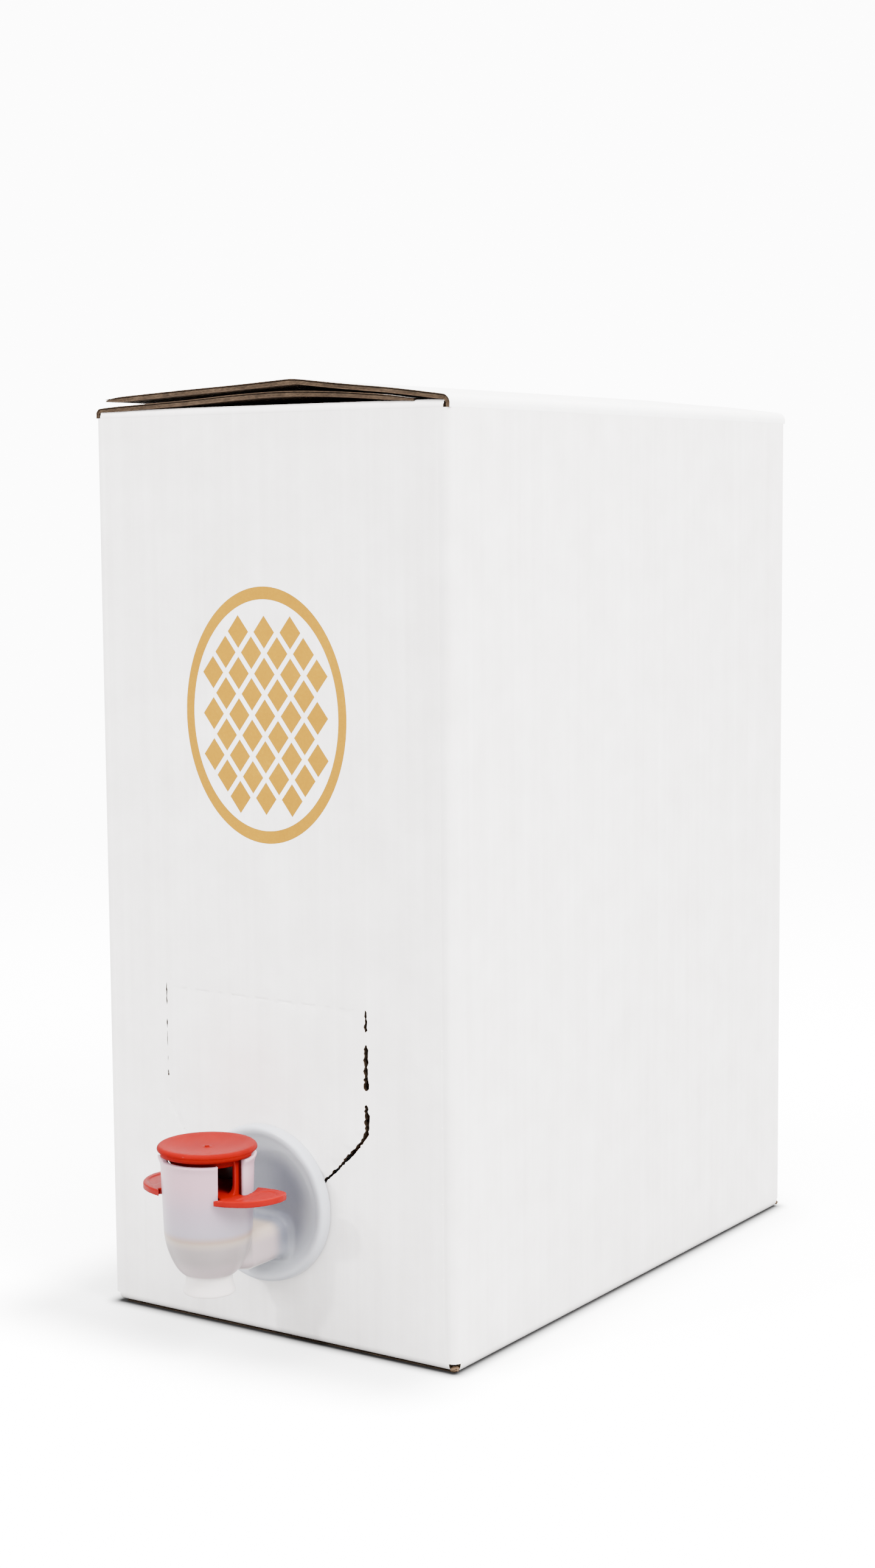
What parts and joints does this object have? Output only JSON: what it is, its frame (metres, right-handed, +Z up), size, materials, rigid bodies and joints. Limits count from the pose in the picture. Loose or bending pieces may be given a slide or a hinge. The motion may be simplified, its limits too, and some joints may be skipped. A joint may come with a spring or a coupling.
{
  "type": "bag in box carton",
  "caption": "Corrugated carton with a filled liner bag and a self-closing press tap on its narrow front panel, with a hinged outer top flap.",
  "frame": {"origin": "centre of the carton's base, on the surface it stands on", "axes": "+Z up, -Y out of the narrow front panel that carries the tap, +X out of the wide right-hand panel"},
  "size_m": [0.116, 0.2265, 0.2561],
  "materials": {
    "white_board": "matt white clay-coated face with brown fluted edges",
    "filled_film": "wrinkled clear film over a dark liquid",
    "milky_plastic": "milky translucent moulding, satin gloss",
    "red_plastic": "glossy red moulding",
    "brown_rubber": "soft matt elastomer"
  },
  "bodies": {
    "carton": {"carton_body": "white_board", "bag": "filled_film", "gland": "milky_plastic", "tap_body": "milky_plastic", "thumb_cap": "red_plastic", "flex_leg_right": "red_plastic", "flex_leg_left": "red_plastic"},
    "top_flap": {"outer_top_flap": "white_board"},
    "lever": {"wing_lever": "red_plastic", "piston_seal": "brown_rubber", "valve_plug": "brown_rubber"}
  },
  "joints": [
    {"name": "flap_hinge", "type": "hinge", "parent": "carton", "child": "top_flap", "pos_m": [0.0582, 0, 0.2502], "axis": [0, 1, 0], "range_deg": [0, 175]},
    {"name": "lever_lift", "type": "slide", "parent": "carton", "child": "lever", "axis": [0, 0, 1], "range_m": [0, 0.004], "stiffness_N_per_m": 2500, "springref_m": -0.001, "deforming": ["flex_leg_right", "flex_leg_left"]}
  ]
}
